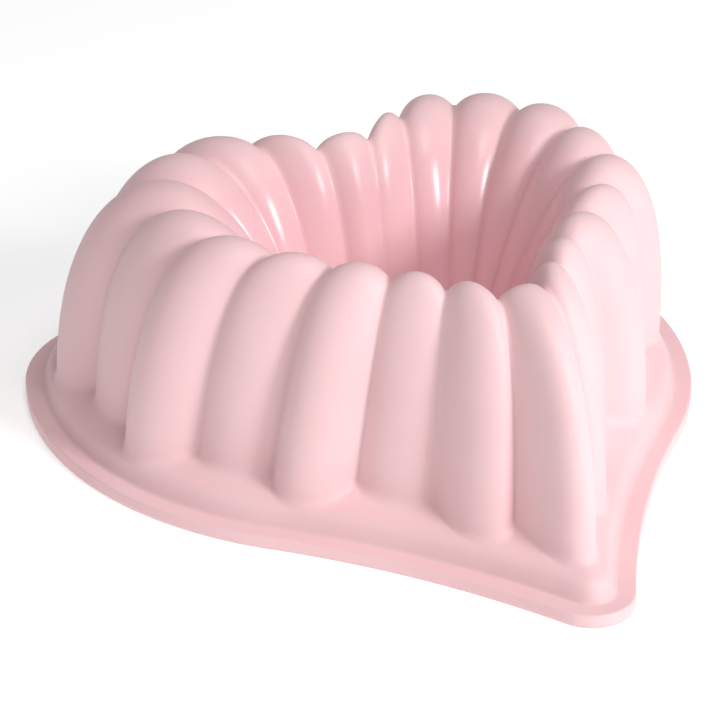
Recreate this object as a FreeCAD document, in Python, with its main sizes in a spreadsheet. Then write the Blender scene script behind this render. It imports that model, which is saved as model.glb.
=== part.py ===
import FreeCAD, Part
import math
import os

# Heart-shaped fluted casting mould, one soft silicone moulding with a wire hoop in its rim.
# It stands on its rim with the crown up. +Z is up, the heart's tip points to -Y and the
# plane X = 0 is the mirror plane. The origin is under the middle of the rim's bounding box.
# Every length is in millimetres and every angle in degrees.

doc = FreeCAD.newDocument("casting_mould")
sheet = doc.addObject("Spreadsheet::Sheet", "sizes")

SIZES = [
    # rim outline, measured from the heart's tip
    ("rim_half_width", 125.0),
    ("rim_wide_y", 188.0),
    ("rim_tip_r", 15.5),
    ("rim_flank_r", 350.0),
    ("rim_side_r", 130.0),
    ("rim_side_turn", 20.0),
    ("rim_shoulder_r", 50.0),
    ("rim_cleft_r", 36.0),
    ("cleft_reach", 1.05),
    # rim and plinth section
    ("rim_height", 4.6),
    ("ledge_width", 6.5),
    ("plinth_wall_run", 3.0),
    ("plinth_height", 11.0),
    ("plinth_top_run", 26.0),
    ("plinth_top_rise", 13.5),
    ("plinth_tip_r", 5.0),
    # crown ridge outline, at the top of the flutes
    ("crown_height", 95.0),
    ("crown_tip_y", 64.0),
    ("crown_tip_r", 16.0),
    ("crown_half_width", 78.2),
    ("crown_wide_y", 164.0),
    ("crown_flank_r", 810.0),
    ("crown_side_r", 63.5),
    ("crown_side_turn", 29.0),
    ("crown_shoulder_r", 34.5),
    ("crown_cleft_r", 34.5),
    # toe outline, where the flutes would meet the floor outside
    ("toe_tip_y", 24.0),
    ("toe_tip_r", 9.0),
    ("toe_half_width", 114.5),
    ("toe_wide_y", 187.5),
    ("toe_flank_r", 2500.0),
    ("toe_side_r", 113.0),
    ("toe_side_turn", 15.0),
    ("toe_shoulder_r", 49.0),
    ("toe_cleft_r", 20.5),
    # centre hole outline, where the flutes meet the floor inside
    ("hole_tip_y", 86.0),
    ("hole_tip_r", 5.5),
    ("hole_half_width", 34.0),
    ("hole_wide_y", 151.5),
    ("hole_flank_r", 290.0),
    ("hole_side_r", 29.0),
    ("hole_side_turn", 10.0),
    ("hole_shoulder_r", 21.5),
    ("hole_cleft_r", 20.5),
    # flutes
    ("flutes_per_side", 10.0),
    ("crown_shift", -4.8),
    ("crown_spread", -5.0),
    ("crown_ripple", -0.5),
    ("toe_shift", -6.5),
    ("toe_spread", 3.0),
    ("toe_ripple", 0.0),
    ("hole_shift", 12.5),
    ("hole_spread", 7.0),
    ("hole_ripple", -3.0),
    ("short_toe", 7.5),
    ("tip_toe_reach", 6.5),
    ("outer_fullness", 0.82),
    ("inner_fullness", 0.66),
    ("inner_batter", 5.0),
    ("flute_roundness", 0.48),
    ("groove_top_depth", 6.3),
    ("groove_outer_depth", 12.8),
    ("groove_inner_depth", 2.2),
    # walls
    ("wall", 2.5),
    ("groove_wall_extra", 2.5),
    # wire hoop
    ("wire_r", 1.2),
    ("wire_inset", 3.2),
    ("wire_z", 2.3),
]

for row, (name, value) in enumerate(SIZES, start=1):
    sheet.set("A%d" % row, name)
    sheet.set("B%d" % row, str(value))
    sheet.setAlias("B%d" % row, name)
doc.recompute()


def size(name):
    return float(sheet.get(name))


def heart(prefix):
    """The nine sizes of one heart outline, taken from the sheet."""
    keys = ("half_width", "wide_y", "tip_r", "flank_r", "side_r", "side_turn", "shoulder_r", "cleft_r")
    values = dict((key, size("%s_%s" % (prefix, key))) for key in keys)
    values["tip_y"] = 0.0 if prefix == "rim" else size("%s_tip_y" % prefix)
    return values


def half_outline(sizes, inset=0.0, least_tip_r=None):
    """Five tangent arcs of the right half, tip to cleft: (centre x, centre y, radius, start, end).

    An inset outline keeps the arc centres and changes the radii. Its tip is never tighter
    than least_tip_r. The cleft arc is widened where it wouldn't reach the shoulder arc.
    """
    side_x = sizes["half_width"] - sizes["side_r"]
    side_y = sizes["wide_y"]
    tip_y = sizes["tip_y"] + sizes["tip_r"]
    turn = math.radians(sizes["side_turn"])
    span = math.hypot(side_x, side_y - tip_y)
    to_side = sizes["side_r"] + sizes["flank_r"]
    to_tip = sizes["tip_r"] + sizes["flank_r"]
    along = (to_tip ** 2 - to_side ** 2 + span ** 2) / (2 * span)
    across = math.sqrt(to_tip ** 2 - along ** 2)
    ux = side_x / span
    uy = (side_y - tip_y) / span
    flank_x = ux * along + uy * across
    flank_y = tip_y + uy * along - ux * across
    shoulder_x = side_x + (sizes["side_r"] - sizes["shoulder_r"]) * math.cos(turn)
    shoulder_y = side_y + (sizes["side_r"] - sizes["shoulder_r"]) * math.sin(turn)
    cleft_r = max(sizes["cleft_r"], size("cleft_reach") * shoulder_x - sizes["shoulder_r"])
    flank_r = sizes["flank_r"] + inset
    shoulder_r = sizes["shoulder_r"] - inset
    cleft_r = cleft_r + inset
    tip_r = sizes["tip_r"] - inset
    if least_tip_r is not None:
        tip_r = max(tip_r, least_tip_r)
    tip_y = flank_y + math.sqrt((flank_r + tip_r) ** 2 - flank_x ** 2)
    cleft_y = shoulder_y + math.sqrt((shoulder_r + cleft_r) ** 2 - shoulder_x ** 2)
    full = 2 * math.pi
    tip_end = math.atan2(flank_y - tip_y, flank_x)
    flank_end = math.atan2(side_y - flank_y, side_x - flank_x) % full
    cleft_start = math.atan2(shoulder_y - cleft_y, shoulder_x) % full
    return [
        (0.0, tip_y, tip_r, -math.pi / 2, tip_end),
        (flank_x, flank_y, flank_r, tip_end + math.pi, flank_end),
        (side_x, side_y, sizes["side_r"] - inset, flank_end - math.pi, turn),
        (shoulder_x, shoulder_y, shoulder_r, turn, cleft_start - math.pi),
        (0.0, cleft_y, cleft_r, cleft_start, 1.5 * math.pi),
    ]


def arc_point(arc, share):
    angle = arc[3] + (arc[4] - arc[3]) * share
    return FreeCAD.Vector(arc[0] + arc[2] * math.cos(angle), arc[1] + arc[2] * math.sin(angle), 0)


def outline_point(arcs, share):
    """The point at this share of the half outline's length."""
    lengths = [abs(arc[4] - arc[3]) * arc[2] for arc in arcs]
    rest = min(max(share, 0.0), 1.0) * sum(lengths)
    for arc, length in zip(arcs, lengths):
        if rest <= length or arc is arcs[-1]:
            return arc_point(arc, min(rest / length, 1.0))
        rest -= length


def mirrored(point):
    return FreeCAD.Vector(-point.x, point.y, point.z)


def outline_wire(arcs, z):
    """A closed heart wire at height z, from arcs mirrored about X = 0."""
    lift = FreeCAD.Vector(0, 0, z)
    right = []
    left = []
    for arc in arcs:
        start = arc_point(arc, 0.0)
        middle = arc_point(arc, 0.5)
        end = arc_point(arc, 1.0)
        right.append(Part.Arc(start + lift, middle + lift, end + lift).toShape())
        left.append(Part.Arc(mirrored(end) + lift, mirrored(middle) + lift, mirrored(start) + lift).toShape())
    return Part.Wire(right + left[::-1])


def frustum(low_arcs, low_z, high_arcs, high_z):
    return Part.makeLoft([outline_wire(low_arcs, low_z), outline_wire(high_arcs, high_z)], True, True)


# ---------------------------------------------------------------- rim and plinth

rim_sizes = heart("rim")
rim_arcs = half_outline(rim_sizes)
rim_back_y = max(arc_point(rim_arcs[3], step / 40.0).y for step in range(41))
centre_y = rim_back_y / 2


def plinth(inset, floor_z, lower):
    """The stepped heart base. inset moves its walls in and lower moves its top down."""
    foot = size("ledge_width") + inset
    edge = foot + size("plinth_wall_run")
    top = edge + size("plinth_top_run")
    tip_r = size("plinth_tip_r")
    foot_arcs = half_outline(rim_sizes, foot, tip_r)
    edge_arcs = half_outline(rim_sizes, edge, tip_r)
    top_arcs = half_outline(rim_sizes, top, tip_r)
    edge_z = size("plinth_height") - lower
    wall = frustum(foot_arcs, floor_z, edge_arcs, edge_z)
    roof = frustum(edge_arcs, edge_z, top_arcs, edge_z + size("plinth_top_rise"))
    return wall.fuse(roof)


# ---------------------------------------------------------------- flute ring

crown_arcs = half_outline(heart("crown"))
toe_arcs = half_outline(heart("toe"))
hole_arcs = half_outline(heart("hole"))
COUNT = int(size("flutes_per_side")) + 1


def spaced_point(station, name, arcs):
    """The point of a station on an outline. Stations are even along it but for three moves:
    shift peaks once on each half of the heart, spread twice and ripple three times."""
    length = sum(abs(arc[4] - arc[3]) * arc[2] for arc in arcs)
    even = abs(station) / COUNT
    move = size(name + "_shift") * math.sin(math.pi * even)
    move += size(name + "_spread") * math.sin(2 * math.pi * even)
    move += size(name + "_ripple") * math.sin(3 * math.pi * even)
    point = outline_point(arcs, even + move / length)
    return mirrored(point) if station < 0 else point


def stations(station):
    """Crown, toe and hole points of one flute or groove. Negative stations are on the left."""
    return (
        spaced_point(station, "crown", crown_arcs),
        spaced_point(station, "toe", toe_arcs),
        spaced_point(station, "hole", hole_arcs))


def legs(station, top_drop, outer_in, inner_in):
    """Three control points of the outer leg and of the inner leg over one station."""
    crown, toe, hole = stations(station)
    out = (toe - hole).normalize()
    toe = toe - out * outer_in
    hole = hole + out * inner_in
    reach_out = (toe - crown).dot(out)
    reach_in = (crown - hole).dot(out) - size("inner_batter")
    top = FreeCAD.Vector(0, 0, size("crown_height") - top_drop)
    outer = (crown + top, crown + out * reach_out + top, toe)
    inner = (crown + top, crown - out * max(reach_in, 1.0) + top, hole)
    return outer, inner


def flute_face(left, middle, right, fullness):
    """One rounded flute leg between two grooves, a rational surface of degree two both ways."""
    round_w = size("flute_roundness")
    poles = []
    weights = []
    for index, row_w in enumerate((1.0, fullness, 1.0)):
        bulge = (middle[index] * (2 + 2 * round_w) - left[index] - right[index]) * (0.5 / round_w)
        poles.append([left[index], bulge, right[index]])
        weights.append([row_w, row_w * round_w, row_w])
    surface = Part.BSplineSurface()
    surface.buildFromPolesMultsKnots(
        poles, [3, 3], [3, 3], [0.0, 1.0], [0.0, 1.0], False, False, 2, 2, weights)
    return surface


def toe_inset(index):
    """How far a flute's toe stays inside the toe outline: flutes are long and short by turns,
    and the one at the heart's tip is longest."""
    if index == 0:
        return -size("tip_toe_reach")
    return size("short_toe") if index % 2 == 0 else 0.0


def flute_ring(wall, groove_wall):
    """The closed ring of flutes, drawn in by wall at the crests and by groove_wall at the grooves."""
    crests = {}
    grooves = {}
    for index in range(1 - COUNT, COUNT + 1):
        crests[index] = legs(index, wall, toe_inset(index) + wall, wall)
    for index in range(-COUNT, COUNT):
        grooves[index] = legs(
            index + 0.5,
            size("groove_top_depth") + groove_wall,
            size("groove_outer_depth") + groove_wall,
            size("groove_inner_depth") + groove_wall)
    faces = []
    outer_feet = []
    inner_feet = []
    for index in range(1 - COUNT, COUNT + 1):
        before = grooves[index - 1]
        after = grooves[index] if index < COUNT else grooves[-COUNT]
        for leg, fullness, feet in ((0, "outer_fullness", outer_feet), (1, "inner_fullness", inner_feet)):
            surface = flute_face(before[leg], crests[index][leg], after[leg], size(fullness))
            faces.append(surface.toShape())
            feet.append(surface.uIso(1.0).toShape())
    floor = Part.makeFace([Part.Wire(outer_feet), Part.Wire(inner_feet)], "Part::FaceMakerBullseye")
    faces.append(floor)
    shell = Part.makeShell(faces)
    shell.sewShape()
    solid = Part.makeSolid(shell)
    if solid.Volume < 0:
        solid.reverse()
    return solid


# ---------------------------------------------------------------- document objects


def shape_feature(name, shape):
    made = doc.addObject("Part::Feature", name)
    made.Shape = shape
    return made


def prism(name, outline, height_expression):
    made = doc.addObject("Part::Extrusion", name)
    made.Base = outline
    made.DirMode = "Custom"
    made.Dir = FreeCAD.Vector(0, 0, 1)
    made.Solid = True
    made.setExpression("LengthFwd", height_expression)
    return made


def fused(name, shapes):
    made = doc.addObject("Part::MultiFuse", name)
    made.Shapes = shapes
    return made


def cut(name, base, tool):
    made = doc.addObject("Part::Cut", name)
    made.Base = base
    made.Tool = tool
    return made


wall = size("wall")
groove_wall = wall + size("groove_wall_extra")

rim_outline = shape_feature("rim_outline", outline_wire(rim_arcs, 0))
crown_outline = shape_feature("crown_outline", outline_wire(crown_arcs, 0))
rim_plate = prism("rim_plate", rim_outline, "sizes.rim_height")
core = prism("core", crown_outline, "sizes.crown_height / 2")

outer_plinth = shape_feature("outer_plinth", plinth(0.0, 0.0, 0.0))
outer_base = cut("outer_base", fused("outer_steps", [rim_plate, outer_plinth]), core)
outer_flutes = shape_feature("outer_flutes", flute_ring(0.0, 0.0))
outer_body = fused("outer_body", [outer_base, outer_flutes])

inner_plinth = shape_feature("inner_plinth", plinth(wall, 0.0, wall))
inner_base = cut("inner_base", inner_plinth, core)
inner_flutes = shape_feature("inner_flutes", flute_ring(wall, groove_wall))
cavity = fused("cavity", [inner_base, inner_flutes])

hoop_arcs = half_outline(rim_sizes, size("wire_inset"))
hoop_line = shape_feature("hoop_line", outline_wire(hoop_arcs, size("wire_z")))
hoop_end = arc_point(hoop_arcs[0], 0.0)
hoop_section = doc.addObject("Part::Circle", "hoop_section")
hoop_section.setExpression("Radius", "sizes.wire_r")
hoop_section.Placement = FreeCAD.Placement(
    FreeCAD.Vector(hoop_end.x, hoop_end.y, size("wire_z")),
    FreeCAD.Rotation(FreeCAD.Vector(0, 1, 0), 90))


def hoop(name):
    made = doc.addObject("Part::Sweep", name)
    made.Sections = [hoop_section]
    made.Spine = (hoop_line, ["Edge%d" % (index + 1) for index in range(len(hoop_line.Shape.Edges))])
    made.Solid = True
    return made


rim_wire = hoop("rim_wire")
wire_channel = hoop("wire_channel")
mould_shell = cut("mould_shell", cut("open_body", outer_body, cavity), wire_channel)
doc.recompute()

# ---------------------------------------------------------------- named parts

PARTS = (mould_shell, rim_wire)
os.makedirs("parts", exist_ok=True)
for part in PARTS:
    part.Label = part.Name
    part.Placement = FreeCAD.Placement(FreeCAD.Vector(0, -centre_y, 0), FreeCAD.Rotation())
doc.recompute()
for made in doc.Objects:
    if "Invalid" in made.State or "Error" in made.State:
        raise RuntimeError("%s did not compute: %s" % (made.Name, made.State))
for part in PARTS:
    if part.Shape.isNull() or not part.Shape.isValid() or len(part.Shape.Solids) != 1:
        raise RuntimeError("%s is not one sound solid" % part.Label)
    part.Shape.exportStep("parts/%s.step" % part.Label)
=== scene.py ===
import math

import bmesh
import bpy
import numpy as np
from mathutils import Matrix, Vector


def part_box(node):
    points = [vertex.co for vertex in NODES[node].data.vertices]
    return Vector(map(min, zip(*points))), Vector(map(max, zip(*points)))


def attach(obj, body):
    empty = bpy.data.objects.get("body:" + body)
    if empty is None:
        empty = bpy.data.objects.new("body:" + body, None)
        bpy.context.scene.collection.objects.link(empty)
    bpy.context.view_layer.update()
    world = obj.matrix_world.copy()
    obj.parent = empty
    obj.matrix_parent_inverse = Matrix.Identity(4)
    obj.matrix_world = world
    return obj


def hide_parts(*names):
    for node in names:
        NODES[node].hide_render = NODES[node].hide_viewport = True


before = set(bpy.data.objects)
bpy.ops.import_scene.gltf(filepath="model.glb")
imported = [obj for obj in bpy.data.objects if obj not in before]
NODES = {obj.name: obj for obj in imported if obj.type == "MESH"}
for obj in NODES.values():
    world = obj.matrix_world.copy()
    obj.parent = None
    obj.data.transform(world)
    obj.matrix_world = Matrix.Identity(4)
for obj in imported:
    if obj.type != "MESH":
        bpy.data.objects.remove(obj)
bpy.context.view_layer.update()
MM = 0.001

# ------------------------------------------------------------ sizes, in millimetres
# Each outline: tip y, tip radius, flank radius, half width, widest y, side radius,
# side turn in degrees, shoulder radius, cleft radius. y is measured from the rim's tip.
RIM = (0.0, 15.5, 350.0, 125.0, 188.0, 130.0, 20.0, 50.0, 36.0)
CROWN = (64.0, 16.0, 810.0, 78.2, 164.0, 63.5, 29.0, 34.5, 34.5)
TOE = (24.0, 9.0, 2500.0, 114.5, 187.5, 113.0, 15.0, 49.0, 20.5)
HOLE = (86.0, 5.5, 290.0, 34.0, 151.5, 29.0, 10.0, 21.5, 20.5)
# How far the flutes are moved along each outline, in one, two and three waves per side.
CROWN_MOVE = (-4.8, -5.0, -0.5)
TOE_MOVE = (-6.5, 3.0, 0.0)
HOLE_MOVE = (12.5, 7.0, -3.0)
FLUTES = 22
HALF = FLUTES // 2
CROWN_HEIGHT = 95.0
GROOVE_TOP = 6.3
GROOVE_OUTER = 12.8
GROOVE_INNER = 2.2
SHORT_TOE = 7.5
TIP_TOE_REACH = 6.5
OUTER_FULLNESS = 0.82
INNER_FULLNESS = 0.66
INNER_BATTER = 5.0
GROOVE_ROUNDING = 0.055
ARC = 0.54
RIM_HEIGHT = 4.6
LEDGE = 6.5
WALL_RUN = 3.0
PLINTH_HEIGHT = 11.0
PLINTH_RUN = 26.0
PLINTH_RISE = 13.5
WALL = 2.5
# Each edge of a column is rounded by averaging this far to either side of it: the rim's foot, the
# rim's corner, the ledge's corner, the plinth's shoulder, the flute's toe and the crown.
ROUNDING = (0.9, 0.9, 1.1, 2.6, 3.2, 2.0)
# How far to either side of an edge the finer steps reach.
RIM_CORNER_BAND = 1.2
LEDGE_BAND = 1.5
SHOULDER_BAND = 3.0
TOE_BAND = 4.0
LEAST_BAND = 0.05
JUST_SHORT = 0.999

SMOOTHNESS_AND_SHADE = "smoothness_and_shade"
COLUMNS = FLUTES * 16
# Steps along a column: rim edge, its corner, ledge, ledge corner, wall, shoulder, plinth top,
# toe fillet, flute, hole side.
ROWS = (3, 8, 4, 7, 5, 9, 6, 9, 42, 44)
# Points worked out along the skirt, the flute and the hole side before they are rounded.
SKIRT_POINTS = 400
FLUTE_POINTS = 400
HOLE_POINTS = 200
# Steps round the free edge of the centre tube.
LIP_STEPS = 9


# ------------------------------------------------------------ outlines

def arcs_of(outline):
    """Five tangent arcs of the right half, tip to cleft, as (x, y, radius, start, end)."""
    tip_y, tip_r, flank_r, width, wide_y, side_r, turn, shoulder_r, cleft_r = outline
    turn = math.radians(turn)
    tip_y += tip_r
    side_x = width - side_r
    span = math.hypot(side_x, wide_y - tip_y)
    to_tip = tip_r + flank_r
    along = (to_tip ** 2 - (side_r + flank_r) ** 2 + span ** 2) / (2 * span)
    across = math.sqrt(to_tip ** 2 - along ** 2)
    ux, uy = side_x / span, (wide_y - tip_y) / span
    flank_x = ux * along + uy * across
    flank_y = tip_y + uy * along - ux * across
    shoulder_x = side_x + (side_r - shoulder_r) * math.cos(turn)
    shoulder_y = wide_y + (side_r - shoulder_r) * math.sin(turn)
    cleft_y = shoulder_y + math.sqrt((shoulder_r + cleft_r) ** 2 - shoulder_x ** 2)
    tip_end = math.atan2(flank_y - tip_y, flank_x)
    flank_end = math.atan2(wide_y - flank_y, side_x - flank_x) % (2 * math.pi)
    cleft_start = math.atan2(shoulder_y - cleft_y, shoulder_x) % (2 * math.pi)
    return [
        (0.0, tip_y, tip_r, -math.pi / 2, tip_end),
        (flank_x, flank_y, flank_r, tip_end + math.pi, flank_end),
        (side_x, wide_y, side_r, flank_end - math.pi, turn),
        (shoulder_x, shoulder_y, shoulder_r, turn, cleft_start - math.pi),
        (0.0, cleft_y, cleft_r, cleft_start, 1.5 * math.pi),
    ]


def along_outline(arcs, station, move):
    """Plan points of the stations, which run from -HALF to HALF. Negative is the left half."""
    lengths = np.array([abs(a[4] - a[3]) * a[2] for a in arcs])
    total = lengths.sum()
    even = np.abs(station) / HALF
    distance = even * total + sum(m * np.sin(k * np.pi * even) for k, m in enumerate(move, start=1))
    distance = np.clip(distance, 0.0, total)
    starts = np.concatenate(([0.0], np.cumsum(lengths)[:-1]))
    which = np.clip(np.searchsorted(starts, distance, side="right") - 1, 0, len(arcs) - 1)
    table = np.array(arcs)[which]
    angle = table[:, 3] + (table[:, 4] - table[:, 3]) * (distance - starts[which]) / lengths[which]
    x = table[:, 0] + table[:, 2] * np.cos(angle)
    y = table[:, 1] + table[:, 2] * np.sin(angle)
    return np.stack([np.where(station < 0, -x, x), y], -1)


RIM_ARCS = arcs_of(RIM)


def rim_distance(points):
    """How far plan points lie inside the rim outline."""
    x, y = np.abs(points[..., 0]), points[..., 1]
    best = np.full(x.shape, 1e9)
    for index, (cx, cy, radius, start, end) in enumerate(RIM_ARCS):
        angle = np.arctan2(y - cy, x - cx)
        low, high = min(start, end), max(start, end)
        angle = low + (angle - low) % (2 * math.pi)
        reach = np.hypot(x - cx, y - cy)
        outward = 1.0 if index in (0, 2, 3) else -1.0
        gap = outward * (radius - reach)
        best = np.where((angle <= high + 1e-6) & (gap > -1.0), np.minimum(best, gap), best)
    return best


def base_height(inset):
    """Height of the rim, ledge, plinth wall and plinth top at this distance inside the rim."""
    edge = LEDGE + WALL_RUN
    return np.interp(
        inset,
        (0.0, LEDGE, edge, edge + PLINTH_RUN),
        (RIM_HEIGHT, RIM_HEIGHT, PLINTH_HEIGHT, PLINTH_HEIGHT + PLINTH_RISE))


# ------------------------------------------------------------ the fluted shell

def conic(start, pole, end, weight, count):
    """Points along the rational arc of each column, from its three control points."""
    t = np.linspace(0.0, 1.0, count)[None, :, None]
    a, b, c = (1 - t) ** 2, 2 * t * (1 - t) * weight, t ** 2
    return (a * start[:, None] + b * pole[:, None] + c * end[:, None]) / (a + b + c)


def groove_share(station):
    """0 on a flute's crest and 1 in the groove, following a round arc with a softened groove."""
    offset = np.abs(station - np.round(station))
    edge = 0.5 - GROOVE_ROUNDING
    over = np.clip((offset - edge) / GROOVE_ROUNDING, 0.0, 1.0)
    offset = np.where(offset > edge, edge + GROOVE_ROUNDING * (over - over ** 2 / 2), offset)
    return ((ARC - np.sqrt(ARC ** 2 - offset ** 2)) / (ARC - math.sqrt(ARC ** 2 - 0.25)))[:, None]


def lengths_along(line):
    """Length from the start of the line to each of its points."""
    return np.concatenate(([0.0], np.cumsum(np.linalg.norm(np.diff(line, axis=0), axis=1))))


def rounded_at(line, run, targets, radius):
    """Points at these lengths, each the average of the line for radius to either side."""
    reach = np.maximum(np.minimum(np.minimum(radius, targets), run[-1] - targets), 1e-3)
    made = []
    for axis in range(3):
        p = line[:, axis]
        area = np.concatenate(([0.0], np.cumsum((p[1:] + p[:-1]) / 2 * np.diff(run))))
        high, low = targets + reach, targets - reach
        made.append((integral(run, p, area, high) - integral(run, p, area, low)) / (2 * reach))
    return np.stack(made, -1)


def integral(run, p, area, x):
    """The area under p from the start of the line to x."""
    k = np.clip(np.searchsorted(run, x, side="right") - 1, 0, len(run) - 2)
    step = x - run[k]
    slope = (p[k + 1] - p[k]) / np.maximum(run[k + 1] - run[k], 1e-9)
    return area[k] + step * (p[k] + slope * step / 2)


def spread(keys, counts):
    """Lengths between successive keys, with a fixed number of steps in each gap."""
    made = [np.linspace(a, b, n, endpoint=False) for a, b, n in zip(keys[:-1], keys[1:], counts)]
    return np.concatenate(made + [[keys[-1]]])


def outer_skin():
    """The outer skin, one column for each station: rim edge, plinth, flute, crown, centre hole."""
    station = np.linspace(-HALF, HALF, COLUMNS, endpoint=False) + HALF / COLUMNS
    crown = along_outline(arcs_of(CROWN), station, CROWN_MOVE)
    toe = along_outline(arcs_of(TOE), station, TOE_MOVE)
    hole = along_outline(arcs_of(HOLE), station, HOLE_MOVE)
    rim = along_outline(RIM_ARCS, station, TOE_MOVE)
    out = toe - hole
    out /= np.linalg.norm(out, axis=1, keepdims=True)
    nearest = np.round(station)
    groove = groove_share(station)
    # flutes are long and short by turns, and the one at the heart's tip is longest
    toe_inset = np.where(nearest % 2 == 0, SHORT_TOE, 0.0)
    toe_inset = np.where(nearest == 0, -TIP_TOE_REACH, toe_inset)[:, None]
    toe = toe - out * (GROOVE_OUTER * groove + toe_inset * (1 - groove))
    hole = hole + out * GROOVE_INNER * groove
    height = CROWN_HEIGHT - GROOVE_TOP * groove

    def lifted(plan, z):
        return np.concatenate([plan, np.broadcast_to(z, (len(plan), 1))], axis=1)

    reach_out = ((toe - crown) * out).sum(1, keepdims=True)
    reach_in = np.maximum(((crown - hole) * out).sum(1, keepdims=True) - INNER_BATTER, 1.0)
    top = lifted(crown, height)
    outer_pole = lifted(crown + out * reach_out, height)
    inner_pole = lifted(crown - out * reach_in, height)
    outer = conic(top, outer_pole, lifted(toe, 0.0), OUTER_FULLNESS, FLUTE_POINTS)
    inner = conic(top, inner_pole, lifted(hole, 0.0), INNER_FULLNESS, HOLE_POINTS)
    lift = outer[:, :, 2] - base_height(rim_distance(outer[:, :, :2]))
    skin = []
    for index in range(len(station)):
        last = int(np.argmax(lift[index] < 0))
        share = lift[index, last - 1] / (lift[index, last - 1] - lift[index, last])
        foot = outer[index, last - 1] + (outer[index, last] - outer[index, last - 1]) * share
        plan = rim[index] + (foot[:2] - rim[index]) * np.linspace(0.0, 1.0, SKIRT_POINTS)[:, None]
        inset = rim_distance(plan)
        inset[0] = 0.0
        inset = np.maximum.accumulate(inset)
        skirt = np.column_stack([plan, base_height(inset)])
        low = np.array([rim[index, 0], rim[index, 1], 0.0])
        line = np.concatenate([low[None], skirt, outer[index, :last][::-1], inner[index, 1:]])
        run = lengths_along(line)
        corner = run[1]
        skirt_run = run[1:SKIRT_POINTS + 1]
        ledge = np.interp(LEDGE, inset, skirt_run)
        shoulder = np.interp(LEDGE + WALL_RUN, inset, skirt_run)
        toe_line = run[SKIRT_POINTS]
        crown_line = run[SKIRT_POINTS + last]
        gap = max((toe_line - shoulder) / 2, LEAST_BAND)
        keys = [
            0.0,
            corner - RIM_CORNER_BAND,
            corner + RIM_CORNER_BAND,
            ledge - LEDGE_BAND,
            ledge + LEDGE_BAND,
            shoulder - SHOULDER_BAND,
            shoulder + min(SHOULDER_BAND, gap),
            toe_line - min(TOE_BAND, gap) * JUST_SHORT,
            toe_line + TOE_BAND,
            crown_line,
            run[-1]]
        targets = spread(keys, ROWS)
        edges = [0.0, corner, ledge, shoulder, toe_line, crown_line]
        radius = np.interp(targets, edges, ROUNDING)
        skin.append(rounded_at(line, run, targets, radius))
        skin[-1][-1] = line[-1]
        skin[-1][0] = line[0]
    return np.array(skin)


def skin_normals(points):
    """Outward normals of a skin of columns, closed around."""
    around = np.roll(points, -1, axis=0) - np.roll(points, 1, axis=0)
    along = np.gradient(points, axis=1)
    normal = np.cross(around, along)
    return normal / np.maximum(np.linalg.norm(normal, axis=2, keepdims=True), 1e-9)


def shell_loops():
    """Closed loops through the wall: up the outer skin, down the hole side, back through the cavity
    and out under the rim."""
    skin = outer_skin()
    inside = skin - skin_normals(skin) * WALL
    wall_foot, flute_foot = sum(ROWS[:4]), sum(ROWS[:8])
    lip = WALL / 2
    turn = np.linspace(0.0, math.pi, LIP_STEPS)[1:-1, None]
    # shares of the way down to the floor plane, and out under the rim, where the loop has points
    down = np.array([0.4, 0.8, 0.95, 1.0])[:, None]
    outwards = np.array([0.05, 0.2, 0.5, 0.8, 0.95])[:, None]
    loops = []
    for outside, cavity in zip(skin, inside):
        cavity = cavity[wall_foot:]
        outside = outside.copy()
        cavity[:, 2] = np.maximum(cavity[:, 2], lip)
        outside[flute_foot:, 2] = np.maximum(outside[flute_foot:, 2], lip)
        middle = (outside[-1] + cavity[-1]) / 2
        end = middle + (outside[-1] - middle) * np.cos(turn)
        end[:, 2] -= lip * np.sin(turn[:, 0])
        inner_foot = cavity[0].copy()
        inner_foot[2] = 0.0
        drop = cavity[0] + (inner_foot - cavity[0]) * down
        under = inner_foot + (outside[0] - inner_foot) * outwards
        loops.append(np.concatenate([outside, end, cavity[::-1], drop, under]))
    return np.array(loops)


# ------------------------------------------------------------ meshes

def woven_ring(name, loops, smoothness_and_shade):
    """A closed ring of closed loops, laid out from a grid whose four sides are joined up.
    smoothness_and_shade says for each row how smooth its skin is, from 0, blasted, to 1, polished, and so
    also how far painted shade deepens its pink."""
    columns, rows = loops.shape[:2]
    mesh = bmesh.new()
    bmesh.ops.create_grid(mesh, x_segments=columns, y_segments=rows, size=1.0)
    layer = mesh.verts.layers.float.new(SMOOTHNESS_AND_SHADE)
    for vertex in mesh.verts:
        column = round((vertex.co.x + 1) / 2 * columns) % columns
        row = round((vertex.co.y + 1) / 2 * rows) % rows
        vertex.co = loops[column, row]
        vertex[layer] = smoothness_and_shade[row]
    bmesh.ops.remove_doubles(mesh, verts=mesh.verts, dist=1e-7)
    bmesh.ops.recalc_face_normals(mesh, faces=mesh.faces)
    for face in mesh.faces:
        face.smooth = True
    data = bpy.data.meshes.new(name)
    mesh.to_mesh(data)
    mesh.free()
    made = bpy.data.objects.new(name, data)
    bpy.context.scene.collection.objects.link(made)
    return made


low, high = (np.array(corner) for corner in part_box("mould_shell"))
tip = np.array([(low[0] + high[0]) / 2, low[1], low[2]])
loops = shell_loops()
crown_row, hole_row = sum(ROWS[:-1]), sum(ROWS)
# the skin turns smooth just inside the crown, and less so round the tube's free edge; the same rows set
# the painted shade in the hole
smoothness_and_shade_rows = np.interp(
    np.arange(loops.shape[1]),
    (crown_row + 2, crown_row + 10, hole_row, hole_row + 6),
    (0.0, 1.0, 1.0, 0.6))
shell = woven_ring("silicone_shell", tip + loops * MM, smoothness_and_shade_rows)
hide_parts("mould_shell")
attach(shell, "root")


# ------------------------------------------------------------ materials

def linear(code):
    """A #rrggbb colour as linear RGBA."""
    parts = [int(code[i:i + 2], 16) / 255 for i in (1, 3, 5)]
    return [p / 12.92 if p <= 0.04045 else ((p + 0.055) / 1.055) ** 2.4 for p in parts] + [1.0]


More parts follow.
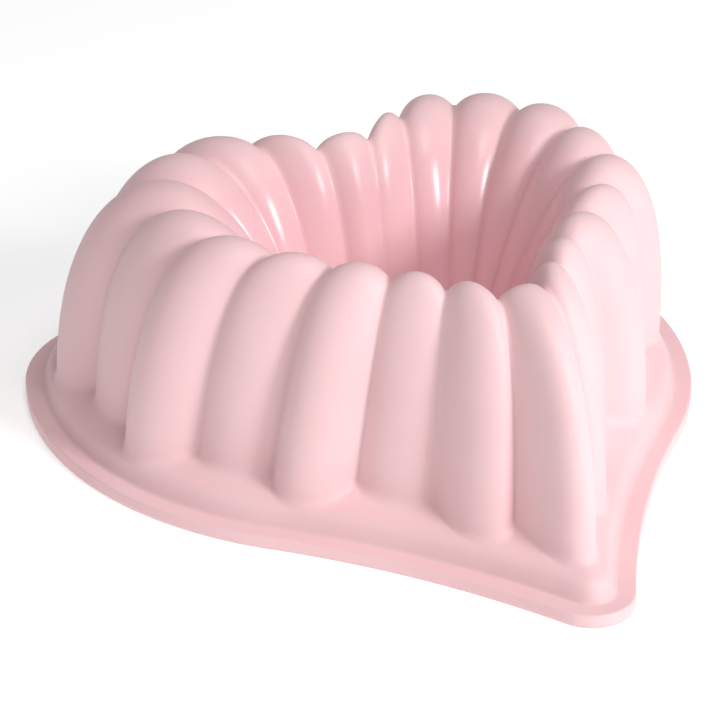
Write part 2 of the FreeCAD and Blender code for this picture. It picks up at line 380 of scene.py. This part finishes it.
def node(tree, kind, inputs=None, **settings):
    """Add a node with its settings, and link or set its inputs."""
    made = tree.nodes.new(kind)
    for key, value in settings.items():
        setattr(made, key, value)
    for key, value in (inputs or {}).items():
        if isinstance(value, bpy.types.NodeSocket):
            tree.links.new(value, made.inputs[key])
        else:
            made.inputs[key].default_value = value
    return made


def new_material(name):
    """A new material, its node tree and its Principled shader."""
    material = bpy.data.materials.new(name)
    material.use_nodes = True
    tree = material.node_tree
    return material, tree, tree.nodes["Principled BSDF"]


def silicone_material():
    """Platinum silicone, injection moulded in pale pink. The mould was bead blasted for the
    outside, which gives a fine matt grain, and left smoother for the centre hole."""
    material, tree, shader = new_material("silicone")
    place = node(tree, "ShaderNodeTexCoord").outputs["Object"]
    # bead-blasted grain, drawn coarser than the real one so that it shows, about 0.5 mm across
    grain = node(
        tree, "ShaderNodeTexNoise",
        {"Vector": place, "Scale": 1 / 0.0011, "Detail": 3.0, "Roughness": 0.6})
    # slow unevenness of the moulding, in waves about 45 mm long
    cloud = node(tree, "ShaderNodeTexNoise", {"Vector": place, "Scale": 1 / 0.045, "Detail": 2.0})
    tint = node(tree, "ShaderNodeValToRGB", {"Fac": cloud.outputs["Fac"]})
    tint.color_ramp.elements[0].position = 0.35
    tint.color_ramp.elements[0].color = linear("#eec8cb")
    tint.color_ramp.elements[1].position = 0.65
    tint.color_ramp.elements[1].color = linear("#f1cdd0")
    smoothness_and_shade = node(tree, "ShaderNodeAttribute", attribute_name=SMOOTHNESS_AND_SHADE).outputs["Fac"]
    blasted = node(
        tree, "ShaderNodeMapRange",
        {"Value": grain.outputs["Fac"], "From Min": 0.3, "From Max": 0.7, "To Min": 0.44, "To Max": 0.56})
    rough = node(
        tree, "ShaderNodeMapRange",
        {"Value": smoothness_and_shade, "To Min": blasted.outputs["Result"], "To Max": 0.22}).outputs["Result"]
    depth = node(
        tree, "ShaderNodeMapRange",
        {"Value": smoothness_and_shade, "To Min": 0.3, "To Max": 0.08}).outputs["Result"]
    bump = node(
        tree, "ShaderNodeBump",
        {"Height": grain.outputs["Fac"], "Strength": depth, "Distance": 0.0001})
    # painted shade: the centre hole's skin is mixed towards a deeper pink, standing in for the shade and
    # pink bounce light deep inside the hole
    painted_hole_shade = node(tree, "ShaderNodeMapRange", {"Value": smoothness_and_shade, "To Max": 0.4}).outputs["Result"]
    # sockets 0, 6 and 7 are the mix's factor and its two colours, and output 2 is the colour
    colour = node(
        tree, "ShaderNodeMix",
        {0: painted_hole_shade, 6: tint.outputs["Color"], 7: linear("#eeb7c0")}, data_type="RGBA").outputs[2]
    tree.links.new(colour, shader.inputs["Base Color"])
    tree.links.new(rough, shader.inputs["Roughness"])
    tree.links.new(bump.outputs["Normal"], shader.inputs["Normal"])
    shader.inputs["IOR"].default_value = 1.41
    shader.inputs["Subsurface Weight"].default_value = 0.25
    shader.inputs["Subsurface Radius"].default_value = (1.0, 0.45, 0.45)
    shader.inputs["Subsurface Scale"].default_value = 0.003
    shader.inputs["Specular IOR Level"].default_value = 0.5
    return material


def steel_material():
    """Hard-drawn stainless spring wire: bright grey, and a little uneven in gloss from the die."""
    material, tree, shader = new_material("drawn_steel")
    place = node(tree, "ShaderNodeTexCoord").outputs["Object"]
    # patches of gloss about 0.9 mm long
    patches = node(tree, "ShaderNodeTexNoise", {"Vector": place, "Scale": 1 / 0.0009, "Detail": 2.0})
    rough = node(
        tree, "ShaderNodeMapRange",
        {"Value": patches.outputs["Fac"], "To Min": 0.22, "To Max": 0.38})
    tree.links.new(rough.outputs["Result"], shader.inputs["Roughness"])
    shader.inputs["Base Color"].default_value = linear("#c9c7c2")
    shader.inputs["Metallic"].default_value = 1.0
    return material


def paint(thing, material):
    """Give a piece this one material."""
    thing.data.materials.clear()
    thing.data.materials.append(material)


paint(shell, silicone_material())
paint(NODES["rim_wire"], steel_material())


# ------------------------------------------------------------ floor, light and camera

FLOOR_HALF = 6.0
FLOOR_DROP = 0.0002
# Where the softboxes point: the middle of the mould, a little below half its height.
MOULD_MIDDLE = (0.0, 0.0, 0.04)


def floor():
    """A pale paper floor, just below the rim so that the two don't share a plane."""
    mesh = bmesh.new()
    bmesh.ops.create_grid(mesh, x_segments=1, y_segments=1, size=FLOOR_HALF)
    data = bpy.data.meshes.new("floor")
    mesh.to_mesh(data)
    mesh.free()
    made = bpy.data.objects.new("floor", data)
    made.location.z = -FLOOR_DROP
    bpy.context.scene.collection.objects.link(made)
    material, tree, shader = new_material("floor_paper")
    shader.inputs["Base Color"].default_value = linear("#fbfbfb")
    shader.inputs["Emission Color"].default_value = linear("#ffffff")
    shader.inputs["Emission Strength"].default_value = 0.33
    shader.inputs["Roughness"].default_value = 0.9
    shader.inputs["Specular IOR Level"].default_value = 0.1
    made.data.materials.append(material)
    return made


def softbox(name, power, width, place):
    """A rectangular area light at this place, turned to the mould."""
    data = bpy.data.lights.new(name, "AREA")
    data.energy = power
    data.shape = "RECTANGLE"
    data.size = width[0]
    data.size_y = width[1]
    made = bpy.data.objects.new(name, data)
    made.location = place
    made.rotation_euler = (Vector(MOULD_MIDDLE) - Vector(place)).to_track_quat("-Z", "Y").to_euler()
    bpy.context.scene.collection.objects.link(made)
    return made


floor()
softbox("key", 25.0, (0.5, 0.5), (0.75, -1.7, 1.05))
softbox("top", 12.0, (0.8, 0.8), (0.1, -0.8, 1.8))

world = bpy.data.worlds.new("studio")
world.use_nodes = True
world.node_tree.nodes["Background"].inputs["Color"].default_value = linear("#ffffff")
world.node_tree.nodes["Background"].inputs["Strength"].default_value = 0.31
bpy.context.scene.world = world
bpy.context.scene.view_settings.view_transform = "Standard"

# The camera stands in front of the tip and to its left, about 29 degrees above the table.
AZIMUTH = math.radians(-26.15)
ELEVATION = math.radians(28.77)
CAMERA_PLACE = (-0.3921, -0.7436, 0.4949)
FOCAL_LENGTH = 134.6
SENSOR_WIDTH = 36.0
back = Vector((
    math.sin(AZIMUTH) * math.cos(ELEVATION),
    -math.cos(AZIMUTH) * math.cos(ELEVATION),
    math.sin(ELEVATION)))
right = Vector((math.cos(AZIMUTH), math.sin(AZIMUTH), 0.0))
up = back.cross(right)
camera_data = bpy.data.cameras.new("camera")
camera_data.sensor_width = SENSOR_WIDTH
camera_data.lens = FOCAL_LENGTH
camera = bpy.data.objects.new("camera", camera_data)
turned = Matrix((right, up, back)).transposed().to_4x4()
turned.translation = Vector(CAMERA_PLACE)
camera.matrix_world = turned
bpy.context.scene.collection.objects.link(camera)
bpy.context.scene.camera = camera
